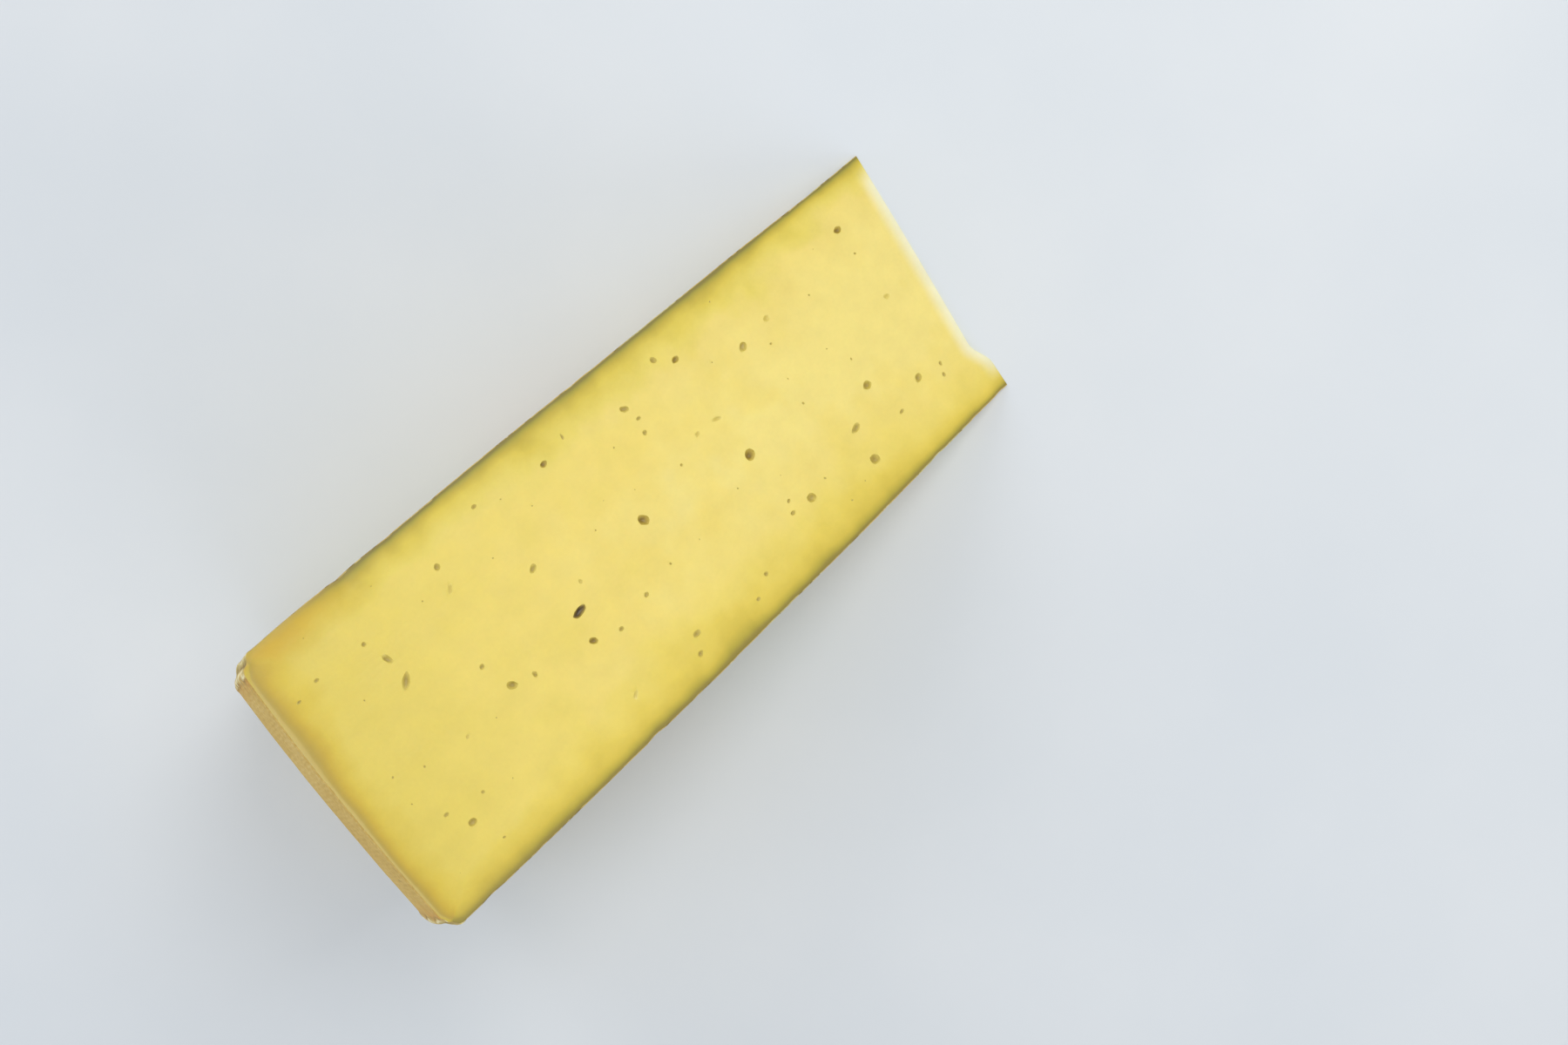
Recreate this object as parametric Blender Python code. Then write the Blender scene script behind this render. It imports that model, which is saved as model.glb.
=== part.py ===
"""A wedge of mountain cheese, one twelfth of a wheel.

Metres, +Z up. The wedge lies on one of its two cut faces, at z = 0. X runs from
the tip, at the wheel's centre, to the heel, at the wheel's rim. Y is the wheel's
axis, so the wheel's two flat rind faces look along -Y and +Y.
"""

import math
import random

import bmesh
import bpy
from mathutils import Matrix, Vector, noise

MILLIMETRE = 0.001

# The wheel that the wedge is cut from
WHEEL_RADIUS = 0.2935
WHEEL_HEIGHT = 0.105
LOW_DIP = 0.0009
HIGH_DIP = 0.0033
CROWN = 0.0004
RIM_LEAN = 0.0060
RIM_BULGE = 0.0013
CORNER_RADIUS = 0.007
RIDGE_HEIGHT = 0.0008
RIDGE_COUNT = 2

# The two cuts
WEDGE_ANGLE = math.radians(30)
CUT_OFFSET = 0.0117
TIP_BLUNT = 0.0006
TIP_WEAR = 0.0045
TIP_WEAR_POWER = 1.3
TIP_WEAR_PEAK = 0.79
TIP_LIP = 0.90

# Unevenness of the rind: height and width of its slow waves, the powers by which
# they die out inward, and the places in the noise that they are read from
RIND_WAVE = 0.0006
RIND_WAVE_WIDTH = 0.055
FACE_WAVE_POWER = 6
RIM_WAVE_POWER = 12
FACE_WAVE_PLACE = 5.0
RIM_WAVE_PLACE = Vector((11.0, 0.0, 3.0))

# Spacing of the mesh lines: wide over the faces, narrow round the rim's corners
WIDE_STEP = 0.013
NARROW_STEP = 0.0012
SPIN_STEPS = 12
MERGE_DISTANCE = 1e-6
RING_TOLERANCE = 1e-7
SHARP_ANGLE = math.radians(40)

# Eyes of the upper cut face: distance from the tip, distance from the -Y rind,
# length and width in millimetres, and the turn of the length in degrees
UPPER_EYES = (
    (194.7, 57.8, 6.6, 3.0, 10),
    (111.5, 56.9, 4.8, 4.1, 43),
    (157.2, 49.4, 4.8, 3.9, 139),
    (103.5, 82.4, 4.0, 3.8, 0),
    (74.1, 87.9, 4.6, 4.2, 154),
    (57.7, 66.4, 4.4, 3.6, 6),
    (227.7, 60.9, 4.2, 3.2, 149),
    (87.2, 27.2, 4.4, 3.0, 31),
    (252.1, 38.0, 6.4, 2.8, 39),
    (197.7, 67.9, 3.8, 2.6, 152),
    (265.1, 84.1, 3.7, 2.8, 174),
    (110.6, 15.6, 3.6, 2.6, 17),
    (137.1, 17.3, 4.2, 2.6, 148),
    (72.4, 75.1, 5.2, 2.8, 14),
    (27.0, 17.4, 3.8, 2.8, 4),
    (171.7, 14.1, 3.4, 2.4, 14),
    (168.6, 89.5, 4.0, 2.4, 5),
    (38.8, 77.0, 4.2, 3.0, 35),
    (197.5, 37.5, 4.0, 2.4, 31),
    (251.9, 29.1, 4.8, 2.2, 105),
    (117.2, 11.0, 3.0, 2.6, 127),
    (221.2, 17.4, 3.0, 2.4, 39),
)

# Eyes of the lower cut face, drawn at random: their number, the distance kept
# between them, from the tip and from the heel, the share of the height that they
# take either side of the middle, and their smallest and largest sizes
LOWER_EYES = 14
LOWER_EYE_GAP = 0.012
LOWER_EYE_START = 0.05
LOWER_EYE_MARGIN = 0.02
LOWER_EYE_SPREAD = 0.4
LOWER_EYE_SIZES = (0.0026, 0.0046)
EYE_RISE = 0.1
EYE_SEED = 12

PASTE_COLOUR = (0.863, 0.694, 0.205, 1.0)
PASTE_ROUGHNESS = 0.5


def clear_scene():
    """Remove every object, so that the wedge stands alone."""
    for item in list(bpy.data.objects):
        bpy.data.objects.remove(item, do_unlink=True)


def smoothstep(low, high, value):
    """Rise smoothly from 0 at low to 1 at high."""
    t = min(1.0, max(0.0, (value - low) / (high - low)))
    return t * t * (3.0 - 2.0 * t)


def line_places(length, narrow_start):
    """Places of the mesh lines along one side, narrow at its end and, if asked, at its start."""
    narrow_band = CORNER_RADIUS + 2.0 * NARROW_STEP
    count = round(narrow_band / NARROW_STEP)
    ending = [length - narrow_band * i / count for i in range(count, 0, -1)] + [length]
    opening = [narrow_band * i / count for i in range(count + 1)] if narrow_start else [0.0]
    gap = ending[0] - opening[-1]
    wide = max(1, round(gap / WIDE_STEP))
    middle = [opening[-1] + gap * i / wide for i in range(1, wide)]
    return opening + middle + ending


def cut_shift(v):
    """Distance that the upper cut runs past the wheel's centre, at v above the -Y face."""
    return CUT_OFFSET * v / WHEEL_HEIGHT


def tip_wear(v):
    """Depth by which the thin tip is worn back, least at the lip by the +Y rind."""
    t = v / WHEEL_HEIGHT
    rise = min(1.0, max(0.0, t / TIP_WEAR_PEAK)) ** TIP_WEAR_POWER
    fall = 1.0 - smoothstep(TIP_WEAR_PEAK, TIP_LIP, t)
    return TIP_BLUNT + TIP_WEAR * rise * fall


def round_corner(a, b):
    """Bend the corner square, a and b out from the arc's centre, into a quarter disc.

    The low ridges round the rim's corner rise from its outermost ring.
    """
    ring = max(a, b)
    reach = math.hypot(a, b)
    if ring <= 0.0:
        return a, b
    angle = math.atan2(b, a)
    ridge = 0.0
    if ring > CORNER_RADIUS - RING_TOLERANCE:
        ridge = RIDGE_HEIGHT * 0.5 * (1.0 - math.cos(4.0 * RIDGE_COUNT * angle))
    scale = (ring + ridge) / reach
    return a * scale, b * scale


def section_point(r, v):
    """Point of the wheel's section, as radius and height, for a place on the plain grid."""
    centre = WHEEL_RADIUS - CORNER_RADIUS
    if r > centre and v < CORNER_RADIUS:
        a, b = round_corner(r - centre, CORNER_RADIUS - v)
        r, v = centre + a, CORNER_RADIUS - b
    elif r > centre and v > WHEEL_HEIGHT - CORNER_RADIUS:
        a, b = round_corner(r - centre, v - (WHEEL_HEIGHT - CORNER_RADIUS))
        r, v = centre + a, WHEEL_HEIGHT - CORNER_RADIUS + b
    t = v / WHEEL_HEIGHT
    bulge = RIM_BULGE * (1.0 - (2.0 * t - 1.0) ** 2)
    rim = WHEEL_RADIUS - RIM_LEAN * (1.0 - t) + bulge - cut_shift(v)
    tip = tip_wear(v)
    radius = tip + (rim - tip) * r / WHEEL_RADIUS
    out = r / WHEEL_RADIUS
    bow = 4.0 * CROWN * out * (1.0 - out)
    low = (bow - LOW_DIP * (1.0 - out) ** 2) * (1.0 - t)
    high = (bow - HIGH_DIP * (1.0 - out) ** 2) * t
    return radius, -WHEEL_HEIGHT / 2 + v - low + high


def make_section(bm):
    """Lay the wheel's section, from tip to rim, in the plane z = 0."""
    along = line_places(WHEEL_RADIUS, narrow_start=False)
    across = line_places(WHEEL_HEIGHT, narrow_start=True)
    columns, rows = len(along) - 1, len(across) - 1
    bmesh.ops.create_grid(bm, x_segments=columns, y_segments=rows, size=1.0)
    for vert in bm.verts:
        i = round((vert.co.x + 1.0) / 2.0 * columns)
        j = round((vert.co.y + 1.0) / 2.0 * rows)
        radius, height = section_point(along[i], across[j])
        vert.co = Vector((radius, height, 0.0))


def spin_wedge(bm):
    """Turn the section through the wedge's angle, and close the face that it starts from."""
    start = bmesh.ops.duplicate(bm, geom=bm.faces[:])["geom"]
    moving = [face for face in bm.faces if face not in set(start)]
    bmesh.ops.spin(
        bm,
        geom=moving,
        cent=(0.0, 0.0, 0.0),
        axis=(0.0, -1.0, 0.0),
        angle=WEDGE_ANGLE,
        steps=SPIN_STEPS,
        use_duplicate=False,
    )
    bmesh.ops.remove_doubles(bm, verts=bm.verts[:], dist=MERGE_DISTANCE)
    bmesh.ops.recalc_face_normals(bm, faces=bm.faces[:])


def roughen_rind(bm):
    """Give the flat faces and the rim slow waves that die out inside the cut faces."""
    for vert in bm.verts:
        radius = math.hypot(vert.co.x, vert.co.z)
        place = vert.co / RIND_WAVE_WIDTH
        side = vert.co.y / (WHEEL_HEIGHT / 2)
        face_place = Vector((0.0, math.copysign(FACE_WAVE_PLACE, side), 0.0))
        face_wave = noise.noise(place + face_place)
        rim_wave = noise.noise(place + RIM_WAVE_PLACE)
        radial = Vector((vert.co.x, 0.0, vert.co.z)) / max(radius, TIP_BLUNT)
        vert.co.y += RIND_WAVE * face_wave * abs(side) ** FACE_WAVE_POWER
        vert.co += radial * RIND_WAVE * rim_wave * (radius / WHEEL_RADIUS) ** RIM_WAVE_POWER


def lean_cut(bm):
    """Shift each layer of the wheel, so that the upper cut passes beside the centre."""
    for vert in bm.verts:
        vert.co.x += cut_shift(vert.co.y + WHEEL_HEIGHT / 2)


def upper_place(along, across):
    """Point on the upper cut face, from distances along it and from its -Y rind."""
    shift = cut_shift(across)
    slope = along - shift * math.cos(WEDGE_ANGLE)
    x = shift + slope * math.cos(WEDGE_ANGLE)
    return Vector((x, across - WHEEL_HEIGHT / 2, slope * math.sin(WEDGE_ANGLE)))


def upper_frame():
    """Turn that lays a shape's X along the upper cut face and its Z along that face's normal."""
    corner = upper_place(0.0, 0.0)
    along = (upper_place(WHEEL_RADIUS, 0.0) - corner).normalized()
    across = (upper_place(0.0, WHEEL_HEIGHT) - corner).normalized()
    normal = along.cross(across).normalized()
    side = normal.cross(along)
    return Matrix((along, side, normal)).transposed().to_4x4()


def lower_eyes():
    """Places and sizes of eyes on the lower cut face, drawn clear of the rinds and each other."""
    draw = random.Random(EYE_SEED)
    eyes = []
    while len(eyes) < LOWER_EYES:
        x = draw.uniform(LOWER_EYE_START, WHEEL_RADIUS - LOWER_EYE_MARGIN)
        y = draw.uniform(-LOWER_EYE_SPREAD, LOWER_EYE_SPREAD) * WHEEL_HEIGHT
        size = draw.uniform(*LOWER_EYE_SIZES)
        place = Vector((x, y, 0.0))
        if all((place - other).length > LOWER_EYE_GAP for other, _ in eyes):
            eyes.append((place, size))
    return eyes


def add_eye(bm, place, turn, length, width):
    """Add one eye's hollow to the cutter, a stretched ball mostly below the face."""
    rise = turn @ Vector((0.0, 0.0, EYE_RISE * width))
    size = Matrix.Diagonal((length, width, width, 1.0))
    matrix = Matrix.Translation(place + rise) @ turn @ size
    bmesh.ops.create_icosphere(bm, subdivisions=2, radius=0.5, matrix=matrix)


def make_eye_cutter(centre):
    """Build all the eyes as one cutter object."""
    bm = bmesh.new()
    up = upper_frame()
    down = Matrix.Rotation(math.pi, 4, "X")
    for along, across, length, width, angle in UPPER_EYES:
        place = upper_place(along * MILLIMETRE, across * MILLIMETRE)
        turn = up @ Matrix.Rotation(math.radians(angle), 4, "Z")
        add_eye(bm, place, turn, length * MILLIMETRE, width * MILLIMETRE)
    for place, size in lower_eyes():
        add_eye(bm, place, down, size, size)
    bmesh.ops.translate(bm, verts=bm.verts[:], vec=-centre)
    cutter = object_from(bm, "eye_cutter")
    cutter.hide_render = True
    cutter.display_type = "WIRE"
    return cutter


def base_centre(bm):
    """Middle of the wedge's box at its foot."""
    lows = [min(vert.co[k] for vert in bm.verts) for k in range(3)]
    highs = [max(vert.co[k] for vert in bm.verts) for k in range(3)]
    return Vector(((lows[0] + highs[0]) / 2, (lows[1] + highs[1]) / 2, lows[2]))


def object_from(bm, name):
    """Turn a bmesh into an object of the scene."""
    mesh = bpy.data.meshes.new(name)
    bm.to_mesh(mesh)
    bm.free()
    item = bpy.data.objects.new(name, mesh)
    bpy.context.scene.collection.objects.link(item)
    return item


def paste_material():
    """Pale yellow cheese paste."""
    material = bpy.data.materials.new("cheese_paste")
    material.use_nodes = True
    shader = material.node_tree.nodes["Principled BSDF"]
    shader.inputs["Base Color"].default_value = PASTE_COLOUR
    shader.inputs["Roughness"].default_value = PASTE_ROUGHNESS
    shader.inputs["Metallic"].default_value = 0.0
    return material


def build_wedge():
    """Build the wedge, centred over its foot, with its eyes cut in."""
    bm = bmesh.new()
    make_section(bm)
    spin_wedge(bm)
    roughen_rind(bm)
    lean_cut(bm)
    centre = base_centre(bm)
    bmesh.ops.translate(bm, verts=bm.verts[:], vec=-centre)
    wedge = object_from(bm, "cheese_wedge")
    wedge.data.materials.append(paste_material())
    wedge.data.shade_smooth()
    wedge.data.set_sharp_from_angle(angle=SHARP_ANGLE)
    eyes = wedge.modifiers.new("eyes", "BOOLEAN")
    eyes.operation = "DIFFERENCE"
    eyes.solver = "EXACT"
    eyes.object = make_eye_cutter(centre)
    return wedge


clear_scene()
build_wedge()
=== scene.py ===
"""A wedge of mountain cheese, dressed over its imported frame.

Metres, +Z up. The wedge lies on its lower cut face, at z = 0. X runs from the tip, at
the wheel's centre, to the heel, at the wheel's rim. Y is the wheel's axis, so the two
flat rind faces look along -Y and +Y.
"""

import logging
import math
import random
from dataclasses import dataclass, field
from enum import IntEnum
from typing import Any

import bmesh
import bpy
from mathutils import Matrix, Vector, noise


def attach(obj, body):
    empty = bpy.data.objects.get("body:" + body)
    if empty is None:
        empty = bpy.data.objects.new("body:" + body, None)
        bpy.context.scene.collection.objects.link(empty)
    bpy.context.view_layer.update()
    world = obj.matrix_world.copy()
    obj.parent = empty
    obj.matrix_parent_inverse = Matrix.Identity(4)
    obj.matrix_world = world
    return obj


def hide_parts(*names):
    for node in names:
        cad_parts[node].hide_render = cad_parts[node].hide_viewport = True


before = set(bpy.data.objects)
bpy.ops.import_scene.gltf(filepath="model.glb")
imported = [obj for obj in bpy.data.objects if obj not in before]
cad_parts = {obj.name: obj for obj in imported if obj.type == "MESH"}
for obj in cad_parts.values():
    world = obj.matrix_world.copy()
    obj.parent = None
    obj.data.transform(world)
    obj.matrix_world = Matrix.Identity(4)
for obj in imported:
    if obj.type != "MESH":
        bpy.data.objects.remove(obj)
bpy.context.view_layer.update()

LOG = logging.getLogger("mountain_cheese")
NODE = "cheese_wedge"
MILLIMETRE = 0.001
HALF_TURN = 180.0

# Nearly all values of a noise pattern lie in this range
NOISE_RANGE = (0.3, 0.7)

# Scale at which the wave pattern makes one wave in a unit of length
ONE_WAVE = math.tau / 20.0

Stops = tuple[tuple[float, str], ...]


class Skin(IntEnum):
    """Material slots of the wedge, in the order of its faces' indices."""

    PASTE = 0
    RIND = 1
    FAINT_EYE = 2
    EYE = 3
    BROWN_EYE = 4
    DARK_EYE = 5


def linear(code: str) -> tuple[float, float, float, float]:
    """Turn an sRGB hex colour into a linear one.

    Args:
        code: Six hex digits, red, green and blue.

    Returns:
        Linear red, green and blue, and an alpha of 1.
    """
    parts = [int(code[i : i + 2], 16) / 255.0 for i in (0, 2, 4)]
    red, green, blue = (
        part / 12.92 if part <= 0.04045 else ((part + 0.055) / 1.055) ** 2.4 for part in parts
    )
    return red, green, blue, 1.0


def per_metre(size_mm: float) -> float:
    """Pattern scale that gives features of a size in millimetres."""
    return 1.0 / (size_mm * MILLIMETRE)


def add_node(
    tree: bpy.types.NodeTree,
    kind: str,
    settings: dict[str, Any],
    inputs: dict[int | str, Any],
    output: int | str = 0,
) -> bpy.types.NodeSocket:
    """Add a shader node with its settings and its inputs.

    Args:
        tree: Node tree that gets the node.
        kind: Type name of the node, without "ShaderNode".
        settings: Properties of the node. "stops" gives a ramp's places and colours.
        inputs: Sockets by index or name, each with a value or a socket to link from.
        output: Index or name of the output socket that is wanted.

    Returns:
        The wanted output socket.
    """
    node = tree.nodes.new("ShaderNode" + kind)
    for name, value in settings.items():
        if name == "stops":
            elements = node.color_ramp.elements
            while len(elements) < len(value):
                elements.new(1.0)
            for element, (place, colour) in zip(elements, value):
                element.position = place
                element.color = linear(colour)
        else:
            setattr(node, name, value)
    for key, value in inputs.items():
        if isinstance(value, bpy.types.NodeSocket):
            tree.links.new(value, node.inputs[key])
        else:
            node.inputs[key].default_value = value
    return node.outputs[output]


def remap(
    tree: bpy.types.NodeTree,
    value: bpy.types.NodeSocket,
    source: tuple[float, float],
    target: tuple[float, float] = (0.0, 1.0),
    smooth: bool = False,
) -> bpy.types.NodeSocket:
    """Map a value from one range to another, held within the second one.

    Args:
        tree: Node tree of the material.
        value: Value to map.
        source: Ends of the range that it comes from.
        target: What those ends become.
        smooth: Whether the change eases in and out.

    Returns:
        The mapped value.
    """
    settings = {"interpolation_type": "SMOOTHSTEP"} if smooth else {}
    inputs = {
        "Value": value,
        "From Min": source[0],
        "From Max": source[1],
        "To Min": target[0],
        "To Max": target[1],
    }
    return add_node(tree, "MapRange", settings, inputs)


def add_noise(
    tree: bpy.types.NodeTree,
    place: bpy.types.NodeSocket,
    size_mm: float,
    detail: float,
    roughness: float = 0.5,
    layer: float | None = None,
) -> bpy.types.NodeSocket:
    """Add a noise pattern.

    Args:
        tree: Node tree of the material.
        place: Where the pattern is looked up.
        size_mm: Size of its largest features, in millimetres.
        detail: How many finer scales it has.
        roughness: How strong those are.
        layer: Place in a fourth dimension, which tells patterns of one kind apart.

    Returns:
        The pattern.
    """
    settings = {} if layer is None else {"noise_dimensions": "4D"}
    inputs = {
        "Vector": place,
        "Scale": per_metre(size_mm),
        "Detail": detail,
        "Roughness": roughness,
    }
    if layer is not None:
        inputs["W"] = layer
    return add_node(tree, "TexNoise", settings, inputs)


def product(
    tree: bpy.types.NodeTree, first: bpy.types.NodeSocket, second: bpy.types.NodeSocket | float
) -> bpy.types.NodeSocket:
    """Multiply two values."""
    return add_node(tree, "Math", {"operation": "MULTIPLY"}, {0: first, 1: second})


def weighted_sum(
    tree: bpy.types.NodeTree,
    value: bpy.types.NodeSocket,
    weight: float,
    added: bpy.types.NodeSocket,
) -> bpy.types.NodeSocket:
    """Multiply a value by its weight and add another value."""
    return add_node(
        tree, "Math", {"operation": "MULTIPLY_ADD"}, {0: value, 1: weight, 2: added}
    )


def blend(
    tree: bpy.types.NodeTree,
    share: bpy.types.NodeSocket,
    first: bpy.types.NodeSocket | tuple[float, ...],
    second: bpy.types.NodeSocket | tuple[float, ...],
) -> bpy.types.NodeSocket:
    """Mix two colours, with the second one's share."""
    return add_node(tree, "Mix", {"data_type": "RGBA"}, {0: share, 6: first, 7: second}, 2)


def shaded(
    tree: bpy.types.NodeTree, colour: bpy.types.NodeSocket, shade: bpy.types.NodeSocket
) -> bpy.types.NodeSocket:
    """Lighten or darken a colour by a factor."""
    return add_node(tree, "VectorMath", {"operation": "SCALE"}, {0: colour, "Scale": shade})


def smoothstep(low: float, high: float, value: float) -> float:
    """Rise smoothly from 0 at low to 1 at high.

    Args:
        low: Value at which the rise starts.
        high: Value at which it ends.
        value: Value to look up.

    Returns:
        Share of the rise, from 0 to 1.
    """
    t = min(1.0, max(0.0, (value - low) / (high - low)))
    return t * t * (3.0 - 2.0 * t)


@dataclass(frozen=True)
class PasteFinish:
    """Pressed, cooked cheese paste, cut with a wire.

    It is satin and a little translucent. It is pale at the heart, golden towards the
    rinds, and ends in the thin olive line of the rind's own thickness.
    """

    wheel_height: float
    wheel_radius: float

    # Tones by depth under the -Y and +Y rinds, and under the heel
    low_side: Stops = (
        (0.0, "80763a"),
        (0.8, "8c813a"),
        (1.7, "aa9e3b"),
        (3.4, "c9b340"),
        (6.0, "e0ca50"),
        (11.0, "ebd766"),
        (19.0, "f2dc79"),
        (52.0, "f7e384"),
    )
    high_side: Stops = (
        (0.0, "867936"),
        (1.0, "9a8a39"),
        (2.4, "bcaa3c"),
        (5.0, "dcc44b"),
        (9.5, "ead25a"),
        (17.0, "f0da6b"),
        (30.0, "f4de78"),
        (52.0, "f7e384"),
    )
    low_near_heel: Stops = (
        (0.0, "c0a958"),
        (0.9, "cbad49"),
        (2.6, "d3b03a"),
        (5.0, "d9b73e"),
        (9.0, "ddc450"),
        (16.0, "e5d061"),
        (52.0, "f4e385"),
    )
    high_near_heel: Stops = (
        (0.0, "887c3e"),
        (1.2, "a9983f"),
        (3.0, "cbb445"),
        (6.0, "e0c850"),
        (11.0, "e9d35f"),
        (18.0, "eddb6d"),
        (52.0, "f4e385"),
    )
    # Under the heel: its first millimetre is the pale torn rim along the cut edge, partly its own
    # pale colour and partly a painted highlight where that edge catches the light
    heel_side_with_rim_highlight: Stops = (
        (0.0, "cfbb72"),
        (0.8, "cbb464"),
        (1.3, "bca44d"),
        (2.2, "bfa342"),
        (4.5, "d2b43f"),
        (8.0, "dfc64c"),
        (15.0, "e6d161"),
        (60.0, "efd96d"),
        (110.0, "f3dc74"),
        (170.0, "f5e07d"),
        (270.0, "f8e78e"),
        (290.0, "f9ec9e"),
    )
    golden_reach: tuple[float, float] = (0.012, 0.055)
    deep_glow: float = 0.68
    deep_glow_share: float = 0.6
    wobble_mm: float = 16.0
    wobble_stretch: tuple[float, float] = (0.7, 1.4)

    # Worn tip, pale where dried, with a painted glow of light through its thin paste
    tip_reach: tuple[float, float] = (0.215, 0.285)
    tip_squeeze: float = 1.6
    tip_pale_glow: str = "f9f3cb"
    tip_pale_reach: float = 0.0068
    tip_side_reach: tuple[float, float] = (0.003, 0.014)

    # Mottling, grain and the wire's streaks
    mottle_mm: float = 9.0
    grain_mm: float = 1.3
    grain_share: float = 0.35
    shade_noise: tuple[float, float] = (0.4, 0.95)
    shade_range: tuple[float, float] = (0.95, 1.03)
    streak_mm: float = 1.6
    streak_stretch: tuple[float, float, float] = (0.04, 1.0, 0.04)
    grain_relief: float = 0.8
    bump_strength: float = 0.35
    bump_height: float = 0.0002

    # Gloss and translucence
    roughness: float = 0.47
    gloss_below: float = 0.05
    gloss_above: float = 0.07
    ior: float = 1.45
    translucence: float = 0.12
    scatter_colours: tuple[float, float, float] = (1.0, 0.62, 0.2)
    scatter_depth: float = 0.003

    def depth_tone(
        self, tree: bpy.types.NodeTree, depth: bpy.types.NodeSocket, stops: Stops
    ) -> bpy.types.NodeSocket:
        """Colour by depth under one rind, on a square root scale that favours shallow depths.

        Args:
            tree: Node tree of the material.
            depth: Depth in metres.
            stops: Depths in millimetres, and their colours.

        Returns:
            The colour.
        """
        span = stops[-1][0]
        share = product(tree, depth, per_metre(span))
        root = add_node(
            tree, "Math", {"operation": "POWER", "use_clamp": True}, {0: share, 1: 0.5}
        )
        places = tuple((math.sqrt(place / span), colour) for place, colour in stops)
        return add_node(tree, "ValToRGB", {"stops": places}, {"Fac": root})

    def pale_glowing_tip(
        self,
        tree: bpy.types.NodeTree,
        tone: bpy.types.NodeSocket,
        heel: bpy.types.NodeSocket,
        sides: tuple[bpy.types.NodeSocket, bpy.types.NodeSocket],
    ) -> bpy.types.NodeSocket:
        """Lighten the thin tip: partly its dried, paler paste, partly a painted glow of the light
        that passes through it.

        Args:
            tree: Node tree of the material.
            tone: Colour of the paste.
            heel: Distance from the heel.
            sides: Depths under the two flat rinds.

        Returns:
            The colour, paler along the tip between the rinds.
        """
        from_tip = add_node(
            tree, "Math", {"operation": "SUBTRACT"}, {0: self.wheel_radius, 1: heel}
        )
        near_tip = remap(tree, from_tip, (0.0, self.tip_pale_reach), (1.0, 0.0), smooth=True)
        nearest = add_node(tree, "Math", {"operation": "MINIMUM"}, {0: sides[0], 1: sides[1]})
        inside = remap(tree, nearest, self.tip_side_reach, smooth=True)
        share = product(tree, near_tip, inside)
        return blend(tree, share, tone, linear(self.tip_pale_glow))

    def material(self) -> bpy.types.Material:
        """Build the paste.

        Returns:
            The material.
        """
        material = bpy.data.materials.new("cooked_cheese_paste")
        material.use_nodes = True
        tree = material.node_tree
        shader = tree.nodes["Principled BSDF"]
        place = add_node(tree, "TexCoord", {}, {}, "Object")
        section = add_node(tree, "UVMap", {"uv_map": "section"}, {})
        low = add_node(tree, "SeparateXYZ", {}, {0: section}, "X")
        heel = add_node(tree, "SeparateXYZ", {}, {0: section}, "Y")
        high = add_node(
            tree, "Math", {"operation": "SUBTRACT"}, {0: self.wheel_height, 1: low}
        )

        # The golden glow under the rinds is deeper in some places than in others
        wobble = add_noise(tree, place, self.wobble_mm, 2.0)
        stretch = remap(tree, wobble, NOISE_RANGE, self.wobble_stretch)
        tones = []
        golden = remap(tree, heel, self.golden_reach, (1.0, 0.0), smooth=True)
        squeeze = remap(tree, heel, self.tip_reach, (1.0, self.tip_squeeze), smooth=True)
        side_stretch = product(tree, stretch, squeeze)
        for depth, stops, warm_stops in (
            (low, self.low_side, self.low_near_heel),
            (high, self.high_side, self.high_near_heel),
        ):
            uneven = product(tree, depth, side_stretch)
            tone = self.depth_tone(tree, uneven, stops)
            warm = self.depth_tone(tree, uneven, warm_stops)
            tones.append(blend(tree, golden, tone, warm))
        # Along the heel the glow is deepest in the half by the -Y rind
        glow_end = self.deep_glow_share * self.wheel_height
        thinning = remap(tree, low, (0.0, glow_end), (self.deep_glow, 1.0), smooth=True)
        heel_stretch = product(tree, stretch, thinning)
        uneven = product(tree, heel, heel_stretch)
        tones.append(self.depth_tone(tree, uneven, self.heel_side_with_rim_highlight))
        sides = add_node(
            tree,
            "Mix",
            {"data_type": "RGBA", "blend_type": "DARKEN"},
            {0: 1.0, 6: tones[0], 7: tones[1]},
            2,
        )
        tone = add_node(
            tree,
            "Mix",
            {"data_type": "RGBA", "blend_type": "DARKEN"},
            {0: 1.0, 6: sides, 7: tones[2]},
            2,
        )
        tone = self.pale_glowing_tip(tree, tone, heel, (low, high))

        # Faint mottling from the pressed curds, and a fine grain from the wire
        mottle = add_noise(tree, place, self.mottle_mm, 4.0)
        grain = add_noise(tree, place, self.grain_mm, 2.0)
        both = weighted_sum(tree, grain, self.grain_share, mottle)
        shade = remap(tree, both, self.shade_noise, self.shade_range)
        colour = shaded(tree, tone, shade)

        streak_place = add_node(
            tree, "Mapping", {}, {"Vector": place, "Scale": self.streak_stretch}
        )
        streaks = add_noise(tree, streak_place, self.streak_mm, 3.0)
        relief = weighted_sum(tree, grain, self.grain_relief, streaks)
        bump = add_node(
            tree,
            "Bump",
            {},
            {"Height": relief, "Strength": self.bump_strength, "Distance": self.bump_height},
        )
        gloss_range = (self.roughness - self.gloss_below, self.roughness + self.gloss_above)
        gloss = remap(tree, mottle, NOISE_RANGE, gloss_range)
        tree.links.new(colour, shader.inputs["Base Color"])
        tree.links.new(gloss, shader.inputs["Roughness"])
        tree.links.new(bump, shader.inputs["Normal"])
        shader.inputs["IOR"].default_value = self.ior
        shader.inputs["Subsurface Weight"].default_value = self.translucence
        shader.inputs["Subsurface Radius"].default_value = self.scatter_colours
        shader.inputs["Subsurface Scale"].default_value = self.scatter_depth
        return material


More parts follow.
